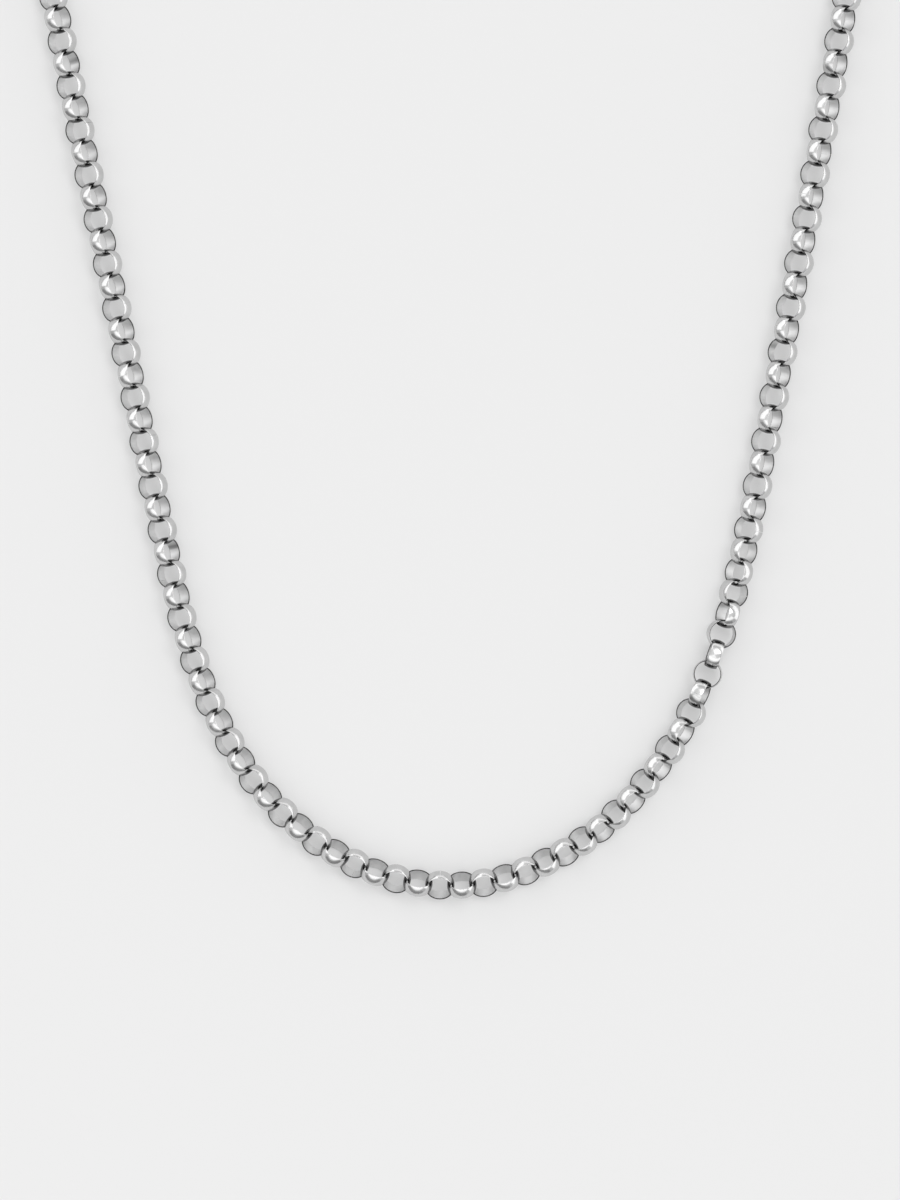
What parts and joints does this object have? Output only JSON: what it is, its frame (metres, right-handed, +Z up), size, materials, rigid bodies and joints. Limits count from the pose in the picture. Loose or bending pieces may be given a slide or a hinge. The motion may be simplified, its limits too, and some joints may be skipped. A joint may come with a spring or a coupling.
{
  "type": "rolo chain necklace",
  "caption": "Necklace of round half-round-band rolo links, fastened with a plain claw clasp and lying flat in an open U-shaped loop.",
  "frame": {"origin": "middle of the necklace's box, on the surface that it lies on", "axes": "+Y from the bottom of the loop to the clasp, +X to the right seen from above, +Z up from the surface"},
  "size_m": [0.1178, 0.1944, 0.0042],
  "materials": {
    "polished_steel": "mirror polished stainless steel",
    "clasp_steel": "mirror polished stainless steel"
  },
  "bodies": {
    "root": {"chain_left": "polished_steel", "chain_right": "polished_steel", "clasp": "clasp_steel"}
  },
  "joints": []
}
